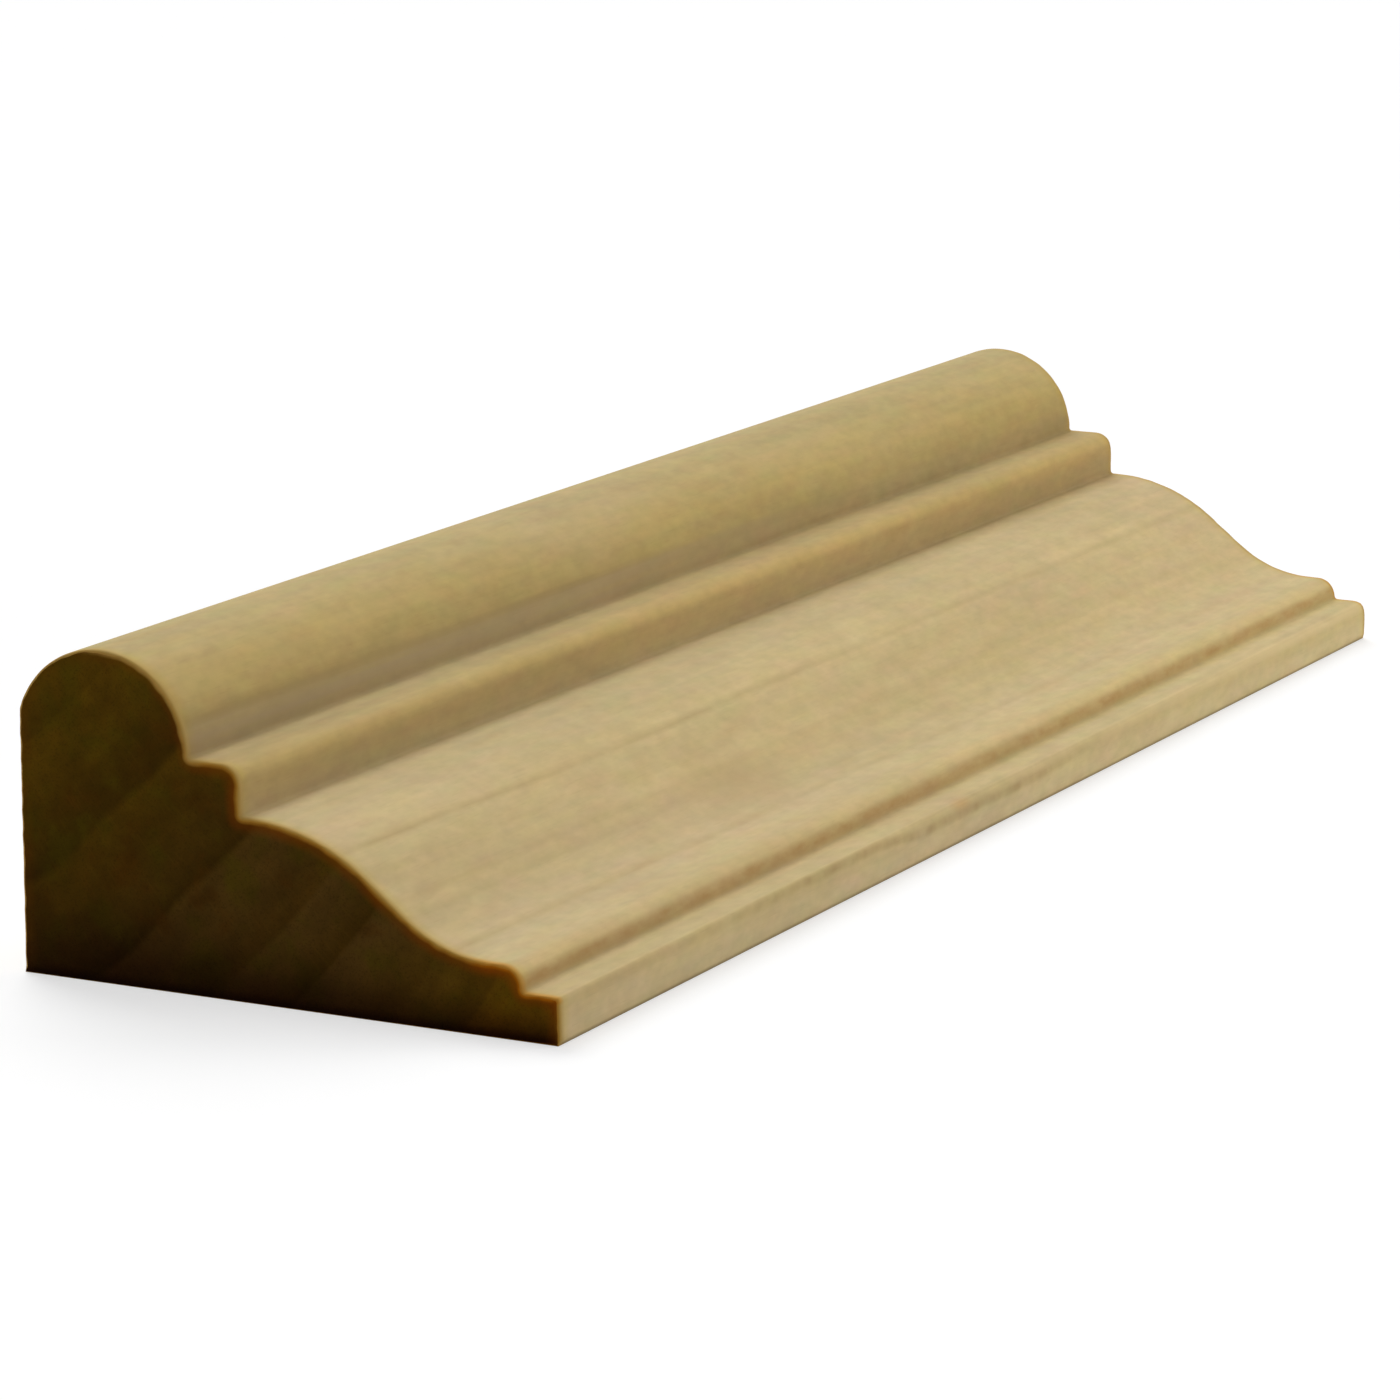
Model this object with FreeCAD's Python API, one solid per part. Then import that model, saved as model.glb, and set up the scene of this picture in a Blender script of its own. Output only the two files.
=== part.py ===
import FreeCAD, Part
import math
import os

# One straight length of solid wood panel moulding, run to a single section and sawn square at both ends.
# It lies on its flat back. X runs across the back, from the thick edge to the lip, Y runs along the
# grain and Z is up. The origin is the middle of the flat back. Sizes are in millimetres, angles in degrees.

# Overall sizes of the stick
WIDTH = 57.15
HEIGHT = 31.75
LENGTH = 203.2

# Torus: the large half round that crowns the thick edge
TORUS_RADIUS = 9.4
# The thick edge is planed this far inside the widest point of the torus
TORUS_PLANED_OFF = 0.5

# Step at the foot of the torus: a level flat, a rounded corner and an upright face
STEP_FLAT = 3.55
STEP_CORNER_RADIUS = 2.0
STEP_FACE = 2.9

# Ogee: round above and hollow below. It takes up what the other members leave of the width and height.
# The shoulder is the level strip between the step and the round.
OGEE_SHOULDER = 0.85
# Fullness 0 would be a straight bevel, and 1 two arcs with no straight run between them
OGEE_FULLNESS = 0.69
# The round's radius as a share of the radii of the round and the hollow added together
OGEE_ROUND_SHARE = 0.575

# Fillet between the ogee and the lip: like the step, but small
FILLET_FLAT = 0.95
FILLET_CORNER_RADIUS = 2.2
FILLET_FACE = 0.2

# Lip: the thin flat edge, whose upper arris is eased
LIP_WIDTH = 3.85
LIP_THICKNESS = 4.5
LIP_ARRIS_RADIUS = 0.4


class Outline:
    """A pen that draws the section edge by edge, across from the thick edge and up from the flat back."""

    def __init__(self):
        self.start = FreeCAD.Vector(0, 0, 0)
        self.here = self.start
        self.edges = []

    def line_to(self, across, up):
        there = FreeCAD.Vector(across, 0, up)
        self.edges.append(Part.makeLine(self.here, there))
        self.here = there

    def line_by(self, across, up):
        self.line_to(self.here.x + across, self.here.z + up)

    def arc(self, radius, start_angle, end_angle):
        """An arc from here. The angles are those of its ends as seen from its centre, up from +X."""

        def spoke(angle):
            turn = math.radians(angle)
            return FreeCAD.Vector(radius * math.cos(turn), 0, radius * math.sin(turn))

        centre = self.here - spoke(start_angle)
        middle = centre + spoke((start_angle + end_angle) / 2)
        end = centre + spoke(end_angle)
        self.edges.append(Part.Arc(self.here, middle, end).toShape())
        self.here = end

    def rounded_square(self, flat, radius, face):
        """A level flat, a quarter round over the corner and an upright face down."""
        self.line_by(flat, 0)
        self.arc(radius, 90, 0)
        self.line_by(0, -face)

    def face(self):
        self.line_to(self.start.x, self.start.z)
        return Part.Face(Part.Wire(self.edges))


def draw_torus(outline):
    """Up the planed thick edge, over the crest and down to the torus's widest point."""
    reach = TORUS_RADIUS - TORUS_PLANED_OFF
    planed_angle = 180 - math.degrees(math.acos(reach / TORUS_RADIUS))
    centre_height = HEIGHT - TORUS_RADIUS
    outline.line_to(0, centre_height + TORUS_RADIUS * math.sin(math.radians(planed_angle)))
    outline.arc(TORUS_RADIUS, planed_angle, 90)
    outline.arc(TORUS_RADIUS, 90, 0)


def draw_ogee(outline, foot_across, foot_height):
    """A round, a straight run and a hollow, all tangent, level where it starts and at its foot."""
    run = foot_across - outline.here.x
    drop = outline.here.z - foot_height
    steepest = (1 + OGEE_FULLNESS) * math.degrees(math.atan2(drop, run))
    sine, cosine = math.sin(math.radians(steepest)), math.cos(math.radians(steepest))
    both_radii = (run * sine - drop * cosine) / (1 - cosine)
    round_radius = OGEE_ROUND_SHARE * both_radii
    hollow_radius = both_radii - round_radius
    outline.arc(round_radius, 90, 90 - steepest)
    outline.line_to(foot_across - hollow_radius * sine, foot_height + hollow_radius * (1 - cosine))
    outline.arc(hollow_radius, 270 - steepest, 270)


def section():
    """The moulding's section as a face, with its corner at the foot of the thick edge."""
    outline = Outline()
    draw_torus(outline)
    outline.rounded_square(STEP_FLAT, STEP_CORNER_RADIUS, STEP_FACE)
    outline.line_by(OGEE_SHOULDER, 0)
    draw_ogee(
        outline,
        foot_across=WIDTH - LIP_WIDTH - FILLET_CORNER_RADIUS - FILLET_FLAT,
        foot_height=LIP_THICKNESS + FILLET_FACE + FILLET_CORNER_RADIUS,
    )
    outline.rounded_square(FILLET_FLAT, FILLET_CORNER_RADIUS, FILLET_FACE)
    outline.rounded_square(LIP_WIDTH - LIP_ARRIS_RADIUS, LIP_ARRIS_RADIUS, LIP_THICKNESS - LIP_ARRIS_RADIUS)
    return outline.face()


def moulding():
    """The whole stick: the section run along the grain from the near end to the far end."""
    near_end = section()
    near_end.translate(FreeCAD.Vector(-WIDTH / 2, -LENGTH / 2, 0))
    return near_end.extrude(FreeCAD.Vector(0, LENGTH, 0))


os.makedirs("parts", exist_ok=True)
moulding().exportStep("parts/moulding.step")
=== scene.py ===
import math

import bpy
import numpy as np
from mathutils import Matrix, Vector, noise
from mathutils.geometry import delaunay_2d_cdt


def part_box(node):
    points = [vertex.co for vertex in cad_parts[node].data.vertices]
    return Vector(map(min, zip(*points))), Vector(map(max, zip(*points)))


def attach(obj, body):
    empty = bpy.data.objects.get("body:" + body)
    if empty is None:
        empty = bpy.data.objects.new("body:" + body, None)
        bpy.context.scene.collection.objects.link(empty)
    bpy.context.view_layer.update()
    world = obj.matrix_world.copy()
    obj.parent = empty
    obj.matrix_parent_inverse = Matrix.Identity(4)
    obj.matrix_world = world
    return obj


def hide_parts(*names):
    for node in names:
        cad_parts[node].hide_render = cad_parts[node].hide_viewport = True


# A straight length of bare wood panel moulding on a pale floor. Lengths are in millimetres until a mesh
# is written, and angles in degrees. The stick's own coordinates are those of the frame: X across the back
# from the thick edge to the lip, Y along the grain and Z up.

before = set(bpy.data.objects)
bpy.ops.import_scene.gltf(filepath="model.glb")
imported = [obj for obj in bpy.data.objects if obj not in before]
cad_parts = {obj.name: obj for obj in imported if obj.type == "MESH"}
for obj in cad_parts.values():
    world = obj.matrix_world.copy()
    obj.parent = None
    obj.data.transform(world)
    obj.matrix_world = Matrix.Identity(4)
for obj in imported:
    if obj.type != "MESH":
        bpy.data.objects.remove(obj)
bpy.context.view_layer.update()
NODE = "moulding"
MM = 0.001

# Overall sizes, from the frame
LOW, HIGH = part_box(NODE)
WIDTH, LENGTH, HEIGHT = ((HIGH - LOW) / MM)[:]

# Members of the section, as in the part's source
TORUS_RADIUS = 9.4
TORUS_PLANED_OFF = 0.5
STEP_FLAT = 3.55
STEP_CORNER_RADIUS = 2.0
STEP_FACE = 2.9
OGEE_SHOULDER = 0.85
OGEE_FULLNESS = 0.69
OGEE_ROUND_SHARE = 0.575
FILLET_FLAT = 0.95
FILLET_CORNER_RADIUS = 2.2
FILLET_FACE = 0.2
LIP_WIDTH = 3.85
LIP_THICKNESS = 4.5
LIP_ARRIS_RADIUS = 0.4

# Spacing of the mesh's points: round arcs, across flats, along the stick and inside the sawn ends
ARC_SPACING = 0.3
FLAT_SPACING = 0.6
RING_SPACING = 1.0
CAP_SPACING = 0.9
# A sawn end has two rows of points this far inside its outline, without those that a corner brings nearer
# to it than a share of that. The other points keep a margin from the outline.
CAP_ROWS, CAP_ROW_SHARE = (0.22, 0.5), 0.97
CAP_MARGIN = 0.6 * CAP_SPACING
# Faces that turn by more than this have a sharp edge between them
SHARP_ANGLE = 28

# The cutter leaves inner corners round: where the section turns up by more than this angle, for this far
# on both sides, in this many points
INNER_CORNER_TURN = 40
INNER_CORNER_REACH = 0.4
INNER_CORNER_POINTS = 7

# The sawn ends: their machined arris is rubbed down a little unevenly, and the arris at the back hardly.
# Each end's unevenness is a place in the noise.
END_ARRIS = 0.26
END_ARRIS_SPREAD = 0.14
END_ARRIS_WAVES = 0.8
NEAR_END_SEED, FAR_END_SEED = 0.0, 40.0
BACK_ARRIS = 0.08
BACK_ARRIS_HEIGHT = 0.3
END_RING_DEPTHS = (0.0, 0.03, 0.08, 0.16, 0.28, 0.5)

# The lip's upper arris is crisp near the near end, rubbed down from there, and well rounded at the far end
LIP_WEAR_NEAR = 0.06
LIP_WEAR_MIDDLE = 0.3
LIP_WEAR_FAR = 0.42
LIP_WEAR_START, LIP_WEAR_FULL = 62.0, 84.0
LIP_WEAR_REACH = 1.5
LIP_WEAR_FALL = 1.5
# Its unevenness, broad and fine: waves per millimetre, strength and place in the noise
LIP_WEAR_SEED = 3.7
LIP_WEAR_WAVES = ((0.08, 0.6, 1.9), (0.3, 0.35, 4.3))

# The lip's lower arris is rubbed off, so that a thin dark line lies under it
LIP_FOOT_WEAR = 0.2
LIP_FOOT_REACH = 0.5

# The tree: the pith runs above and to the left of the stick, nearly along it
PITH_ACROSS = -19.5 - WIDTH / 2
PITH_UP = 53.7
PITH_DRIFT_ACROSS = 1.0
PITH_DRIFT_UP = -0.8
RING_CORE, RING_RIM = 32.0, 100.0
# Every noise has its features per millimetre across, along and up, then its detail and its roughness.
# The rings wander with this one, this far across, along and up.
RING_NOISE = ((0.06, 0.014, 0.06), 4.0, 0.5)
RING_WANDER = (2.2, 0.0, 2.2)
# Round this line, at the foot of the thick edge, they bulge outwards
BULGE_LINE, BULGE_WIDTHS, BULGE = (4.0 - WIDTH / 2, 4.0), (0.0, 16.0), 2.4
# Each ring's outer radius, and how dark its last growth is
GROWTH_RINGS = (
    (37.4, 0.3),
    (47.9, 0.95),
    (57.9, 1.0),
    (66.7, 0.8),
    (72.3, 0.9),
    (79.4, 0.4),
    (85.3, 0.6),
    (95.0, 0.6),
)
# A year's wood: how far through the year, and the share of its last growth's darkness
GROWTH_YEAR = ((0.45, 0.2), (0.75, 0.65), (0.965, 1.0), (1.03, 0.0))
# Thin growth lines that show on the long faces: the distance from the pith and how dark each is
FINE_LINES = (
    (46.7, 0.5),
    (66.5, 0.6),
    (69.9, 0.2),
    (73.3, 0.2),
    (75.3, 0.16),
    (80.5, 0.5),
)
# A line darkens over the first width and clears over the second
FINE_LINE_WIDTHS = (0.85, 0.595)
FINE_LINE_COLOUR = (160, 134, 86)
# It fades towards the far end, and a noise breaks it up between two strengths
FINE_LINE_FADE = (-90.0, 90.0, 1.0, 0.4)
FINE_LINE_NOISE, FINE_LINE_LEVELS = ((0.3, 0.07, 0.3), 3.0, 0.6), (0.2, 0.85)

# All colours are from 0 to 255 as seen, and all tones are shares that a colour is multiplied by.
# The planed faces' colours by distance from the pith
PLANED_COLOURS = (
    (37, (182, 162, 112)),
    (39, (189, 167, 114)),
    (43.5, (196, 170, 109)),
    (51.5, (186, 162, 111)),
    (57, (198, 177, 131)),
    (61, (194, 174, 129)),
    (66, (203, 181, 131)),
    (74, (204, 181, 131)),
    (78, (197, 176, 130)),
    (82, (195, 175, 132)),
    (93, (205, 183, 132)),
)
# Patches of them lean to pink or to green: the colour, the noise's levels where the patch begins and where
# it is full, and how much it covers there
LEAN_NOISE = ((0.05, 0.012, 0.05), 2.0, 0.5)
LEANS = (((197, 173, 136), (0.5, 0.72), 0.34), ((186, 170, 118), (0.5, 0.3), 0.26))
# The wood's figure: each layer is a noise, and the tones at its low and its high
STREAKS = ((0.8, 0.012, 0.8), 3.0, 0.55, 0.95, 1.03)
FLECKS = ((0.95, 0.45, 0.95), 2.0, 0.5, 0.95, 1.04)
MOTTLE = ((0.4, 0.17, 0.4), 1.0, 0.5, 0.97, 1.035)
CLOUDS = ((0.16, 0.035, 0.16), 2.0, 0.5, 0.96, 1.04)
TINT_NOISE, TINT_SHARE = ((0.5, 0.16, 0.5), 3.0, 0.5), 0.08
PORE_NOISE, PORE_LEVELS = ((7.0, 0.35, 7.0), 1.0, 0.5), (0.62, 0.74)
PORE_COLOUR, PORE_SHARE = (150, 122, 80), 0.09
# The long faces' roughness, gloss and relief: its fibres, how far pores sink in it, its strength and depth
PLANED_ROUGHNESS, PLANED_GLOSS = (0.68, 0.82), 0.08
FIBRE_NOISE, PORE_SINK = ((4.0, 0.09, 4.0), 3.0, 0.6), -0.5
PLANED_RELIEF = (0.3, 0.03)

# Painted light and shade on the members, from the torus's side to the lip's foot: each member lighter or
# darker as the light falls on it. A member's place is its fall: how far it lies across less how far up.
FALL_START, FALL_END = -42.0, 28.6
MEMBER_LIGHT_AND_SHADE = (
    (-41.2, (1.0, 1.0, 1.0)),
    (-36.1, (0.87, 0.86, 0.8)),
    (-33.2, (0.85, 0.84, 0.92)),
    (-32.4, (0.92, 0.93, 1.04)),
    (-31.5, (0.94, 0.97, 1.08)),
    (-29.2, (0.93, 0.93, 0.93)),
    (-28.0, (1.06, 1.03, 0.96)),
    (-27.0, (1.11, 1.05, 0.88)),
    (-26.3, (1.11, 1.03, 0.83)),
    (-25.4, (0.93, 0.85, 0.71)),
    (-23.6, (0.88, 0.83, 0.74)),
    (-22.4, (0.89, 0.85, 0.8)),
    (-21.3, (1.0, 1.0, 1.0)),
    (-18.5, (0.96, 0.96, 0.96)),
    (-15.0, (1.0, 1.0, 1.0)),
    (12.0, (1.0, 1.0, 1.0)),
    (15.5, (0.93, 0.94, 0.88)),
    (17.3, (1.09, 1.06, 0.94)),
    (19.0, (1.07, 1.04, 0.9)),
    (19.9, (0.99, 0.96, 0.85)),
    (20.7, (0.98, 0.99, 0.92)),
    (21.7, (0.87, 0.89, 0.83)),
    (23.4, (0.87, 0.89, 0.85)),
    (24.3, (1.02, 1.02, 0.92)),
    (25.0, (0.98, 0.97, 0.9)),
    (27.3, (1.09, 1.11, 1.16)),
)
# They begin between these places across, on the torus, and between these heights, just off the back
MEMBERS_ACROSS = (-18.0, -15.0)
MEMBERS_UP = (0.02, 0.3)

# Marks, painted light and painted shade on the long faces. Most run with the grain along a line, which is a
# place across and up, and clear from the first of their widths to the second. A fade along the stick has a
# start, an end and the strengths there. A noise breaks some of them up between two strengths.
# Painted shade: a greyish band at the torus's foot, fading out towards the far end
TORUS_FOOT_SHADE = ((-10.5, 24.0), (0.7, 2.1), (-40.0, 45.0, 0.6, 0.0), (172, 150, 115))
STRING = ((-10.8, 25.4), (0.15, 0.6), (-30.0, 15.0, 0.35, 0.0), (160, 136, 88))
STRING_NOISE, STRING_LEVELS = ((1.3, 0.02, 1.3), 2.0, 0.5), (0.4, 1.2)
# Painted light and shade on two strips beside the step: lighter towards the near end, darker towards the far
# end
SHOULDER_LINE, SHOULDER_WIDTHS = (-3.6, 17.6), (0.6, 2.6)
STEP_LINE, STEP_WIDTHS = (-9.3, 22.4), (0.3, 1.6)
STRIP_NEAR, STRIP_FAR = -95.0, 90.0
STRIP_LIGHT_AND_SHADE = ((1.1, 1.12, 1.16, 1.0), (0.91, 0.9, 0.86, 1.0))
LIP_TOP_LINE, LIP_TOP_WIDTHS = (WIDTH / 2 - 1.6, 4.5), (0.6, 1.6)
LIP_TOP_NEAR, LIP_TOP_FAR = -95.0, 60.0
LIP_TOP_TONES = ((0.96, 0.96, 0.95, 1.0), (1.08, 1.07, 1.13, 1.0))
# A brown line down the fillet's foot: partly the wood's colour, partly painted shade where the face turns
# from the light
FILLET_LINE, FILLET_WIDTHS = (WIDTH / 2 - LIP_WIDTH - 0.18, 5.45), (0.1, 1.0)
FILLET_NOISE, FILLET_LEVELS = ((0.6, 0.22, 0.6), 3.0, 0.6), (0.25, 0.8)
FILLET_LINE_AND_SHADE_COLOUR = (178, 138, 84)
# Painted shade: a wavy dark line along the lip's upper arris, where its top turns down
ARRIS_LINE, ARRIS_WIDTHS = (WIDTH / 2, 3.95), (0.1, 0.8)
ARRIS_FADES = ((-80.0, -45.0, 0.15, 0.45), (0.0, 28.0, 1.0, 0.0))
ARRIS_SHADE_COLOUR = (146, 114, 64)
ARRIS_NOISE, ARRIS_LEVELS = ((0.0, 0.3, 0.0), 2.0, 0.5), (0.25, 1.1)
# How far this line lies lower: by its waves and by a drop, until it rises again
WAVE_NOISE, WAVE_HEIGHT = ((0.0, 0.14, 0.0), 2.0, 0.5), 0.5
ARRIS_DROP = (-36.0, -24.0, -0.25, 0.6)
ARRIS_RISE = (5.0, 24.0, 0.0, 0.9)
WORN_LINE, WORN_WIDTHS = (WIDTH / 2 - 0.2, 4.1), (0.3, 1.1)
WORN_FADE = (-36.0, 90.0, 0.0, 0.6)
WORN_COLOUR = (220, 195, 146)
# Two spots: the place, the stretch across, along and up, the size when stretched, the colour and the share
SPECK = ((WIDTH / 2, -14.5, 4.1), (1.0, 0.4, 1.5), 1.5, (200, 142, 74), 0.35)
BLOTCH = ((13.6, -37.0, 9.4), (0.17, 0.07, 0.17), 1.0, (180, 152, 108), 0.4)
# A painted contact shadow along the lip's foot, by height
LIP_FOOT_SHADOW_FADE = (0.1, 0.5, 0.5, 0.0)
LIP_FOOT_SHADOW_COLOUR = (112, 98, 66)

# Painted light at the machined arris of a sawn end, by depth from the end: its browns and how much they
# cover
PAINTED_ARRIS_COLOURS = (
    (0.0, (170, 117, 36)),
    (0.03, (182, 135, 54)),
    (0.08, (181, 142, 68)),
    (0.16, (180, 145, 76)),
    (0.28, (180, 147, 82)),
    (0.5, (182, 151, 90)),
)
PAINTED_ARRIS_SHARES = ((0.0, 1.0), (0.28, 1.0), (0.5, 0.8), (0.8, 0.3), (1.0, 0.0))
# It is weaker on the torus, up to between these places across, and more orange on the fillet and the lip
TORUS_ARRIS = (-12.0, -8.0, 0.7, 1.0)
LOW_TOPS_ACROSS, LOW_TOPS_UP = (18.0, 21.5), (3.7, 4.2)
LOW_TOPS_TONE = (1.1, 0.9, 0.6, 1.0)
# The planed faces are painted warmer over the last millimetres before a sawn end, as part of that painted
# light
PAINTED_END_WARMTH = (LENGTH / 2 - 2.4, LENGTH / 2 - 0.2, 0.0, 0.9)
PAINTED_END_WARM_TONE = (1.0, 0.97, 0.74, 1.0)

# The sawn ends' darkness is partly the end grain's own colour and partly painted shade
# The sawn ends' colours by distance from the pith, early in a year and at its end
END_EARLY_COLOURS = (
    (37, (90, 65, 8)),
    (47, (84, 60, 8)),
    (52, (82, 58, 9)),
    (59, (89, 64, 22)),
    (74, (92, 66, 25)),
    (80, (94, 68, 18)),
    (85, (98, 69, 12)),
    (87, (109, 74, 8)),
)
END_LATE_COLOURS = (
    (40, (64, 44, 4)),
    (57, (64, 44, 6)),
    (66, (74, 50, 9)),
    (78, (78, 54, 8)),
)
# Patches of them lean to olive or to red, as the long faces' patches do
END_LEAN_NOISE = ((0.2, 0.2, 0.2), 3.0, 0.6)
END_LEANS = (((78, 66, 6), (0.48, 0.7), 0.55), ((80, 46, 5), (0.48, 0.3), 0.5))
END_MOTTLE = ((0.42, 0.42, 0.42), 3.0, 0.65, 0.9, 1.1)
# Bands and rays have their features per radian round the pith and per millimetre out from it
END_BANDS = ((8.0, 0.26, 0.0), 2.0, 0.5, 0.84, 1.17)
RAY_NOISE, RAY_LEVELS = ((260.0, 0.3, 0.0), 1.0, 0.5), (0.58, 0.72)
RAY_COLOUR, RAY_SHARE = (120, 88, 30), 0.07
END_PORE_NOISE, END_PORE_LEVELS = ((5.5, 0.2, 5.5), 2.0, 0.5), (0.5, 0.72)
END_PORE_COLOUR, END_PORE_SHARE = (46, 29, 3), 0.3
# The sawn ends' roughness, gloss and relief: the saw's marks, and the relief's strength and depth
END_ROUGHNESS, END_GLOSS = 0.85, 0.03
SAW_NOISE = ((0.25, 0.25, 2.4), 2.0, 0.5)
END_RELIEF = (0.4, 0.06)
# Painted shade: the sawn ends are painted darker towards the bottom, darkest on the lowest strip
# The painted shade's height in the middle of the stick, and how it changes across. The lowest strip is
# darker.
SHADE_HEIGHT, SHADE_SLOPE = 7.7, -0.165
PAINTED_SHADE_TONE = (0.37, 0.27, 0.34, 1.0)
FOOT_SHADOW_HEIGHTS = (0.1, 1.25)
PAINTED_FOOT_SHADOW_TONE = (0.36, 0.25, 0.34, 1.0)

# The painted highlight round a sawn end's rim, by its place across, from 0 at the thick edge to 1 at the
# lip: a glow, with how much it covers and how far it spreads, and a narrow crest. The glow is patchy and
# weaker low down.
GLOW_SHARES = (
    (0.01, 0.15),
    (0.12, 0.15),
    (0.2, 0.36),
    (0.32, 0.4),
    (0.36, 0.66),
    (0.82, 0.66),
    (0.88, 0.95),
)
GLOW_SPREADS = ((0.01, 0.9), (0.12, 0.9), (0.2, 0.74), (0.32, 0.74), (0.36, 0.95), (0.84, 0.85))
GLOW_WIDTH = 1.6
GLOW_NOISE, GLOW_LEVELS = ((0.22, 0.0, 0.22), 2.0, 0.5), (0.5, 1.15)
GLOW_RISE = (0.5, 4.5, 0.4, 1.0)
GLOW_COLOUR, LOW_TOPS_GLOW = (132, 64, 2), (150, 72, 3)
CREST_SHARES = ((0.01, 0.0), (0.12, 0.0), (0.2, 0.78), (0.985, 0.78), (0.99, 0.15))
CREST_WIDTH = 0.34
CREST_COLOURS = ((0.29, (182, 142, 67)), (0.36, (174, 122, 40)))
LOW_TOPS_CREST = (190, 112, 14)

# Camera: the photograph's viewing angle
CAMERA_PLACE = Vector((0.26736, -0.54130, 0.14096))
CAMERA_AZIMUTH = 27.066
CAMERA_ELEVATION = 12.306
CAMERA_LENS = 148.77
CAMERA_CLIP = 0.01

# Light: a broad lamp above and behind the thick edge, another straight above, and a small one low on the
# lip's side towards the far end. The floor throws much of it back.
KEY_LEVEL, KEY_HEIGHT, KEY_TURN, KEY_SOFTNESS = 0.66, 45.0, 135.0, 40.0
TOP_LEVEL, TOP_SOFTNESS = 0.46, 50.0
FILL_LEVEL = 0.36
FILL_PLACE = Vector((0.45, 0.23, 0.08))
FILL_RADIUS = 0.1
SKY_LEVEL = 0.03
FLOOR_SIZE = 8.0
FLOOR_DROP = 0.00002
FLOOR_BOUNCE = 0.86
FLOOR_SEEN_LEVEL = 1.02
FLOOR_SEEN_SHADE = 0.45


class Outline:
    """A pen that lays points along the section, across from the thick edge and up from the flat back."""

    def __init__(self):
        self.points = [(0.0, 0.0)]

    def line_to(self, across, up):
        start = self.points[-1]
        count = max(1, round(math.dist(start, (across, up)) / FLAT_SPACING))
        for i in range(1, count + 1):
            share = i / count
            point = (start[0] + (across - start[0]) * share, start[1] + (up - start[1]) * share)
            self.points.append(point)

    def line_by(self, across, up):
        here = self.points[-1]
        self.line_to(here[0] + across, here[1] + up)

    def arc(self, radius, start_angle, end_angle):
        """An arc from here. The angles are those of its ends as seen from its centre, up from +X."""
        here = self.points[-1]
        first = math.radians(start_angle)
        turn = math.radians(end_angle) - first
        centre = (here[0] - radius * math.cos(first), here[1] - radius * math.sin(first))
        count = max(5, round(abs(turn) * radius / ARC_SPACING))
        for i in range(1, count + 1):
            angle = first + turn * i / count
            point = (centre[0] + radius * math.cos(angle), centre[1] + radius * math.sin(angle))
            self.points.append(point)

    def rounded_square(self, flat, radius, face):
        """A level flat, a quarter round over the corner and an upright face down."""
        self.line_by(flat, 0)
        self.arc(radius, 90, 0)
        self.line_by(0, -face)


def draw_torus(outline):
    """Up the planed thick edge, over the crest and down to the torus's widest point."""
    reach = TORUS_RADIUS - TORUS_PLANED_OFF
    planed_angle = 180 - math.degrees(math.acos(reach / TORUS_RADIUS))
    outline.line_to(0, HEIGHT - TORUS_RADIUS + TORUS_RADIUS * math.sin(math.radians(planed_angle)))
    outline.arc(TORUS_RADIUS, planed_angle, 90)
    outline.arc(TORUS_RADIUS, 90, 0)


def draw_ogee(outline, foot_across, foot_height):
    """A round, a straight run and a hollow, all tangent, level where it starts and at its foot."""
    here = outline.points[-1]
    run, drop = foot_across - here[0], here[1] - foot_height
    steepest = (1 + OGEE_FULLNESS) * math.degrees(math.atan2(drop, run))
    sine, cosine = math.sin(math.radians(steepest)), math.cos(math.radians(steepest))
    both_radii = (run * sine - drop * cosine) / (1 - cosine)
    round_radius = OGEE_ROUND_SHARE * both_radii
    hollow_radius = both_radii - round_radius
    outline.arc(round_radius, 90, 90 - steepest)
    outline.line_to(foot_across - hollow_radius * sine, foot_height + hollow_radius * (1 - cosine))
    outline.arc(hollow_radius, 270 - steepest, 270)


def round_inner_corners(points):
    """The same outline with a short curve in each sharp inner corner."""
    reach = INNER_CORNER_REACH
    points = np.array(points)
    steps = np.diff(points, axis=0)
    along = np.concatenate([[0.0], np.cumsum(np.linalg.norm(steps, axis=1))])
    heading = np.degrees(np.unwrap(np.arctan2(steps[:, 1], steps[:, 0])))
    corners = along[1:-1][np.diff(heading) > INNER_CORNER_TURN]
    found = []
    for distance, point in zip(along, points):
        if (abs(distance - corners) > reach).all():
            found.append((distance, tuple(point)))
    for corner in corners:
        distances = corner + reach * np.array((-1, 0, 1))
        curve = np.stack([np.interp(distances, along, points[:, i]) for i in (0, 1)], axis=1)
        for share in np.linspace(0, 1, INNER_CORNER_POINTS):
            weights = np.array(((1 - share) ** 2, 2 * share * (1 - share), share**2))
            found.append((corner + reach * (2 * share - 1), tuple(weights @ curve)))
    return [point for distance, point in sorted(found)]


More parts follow.
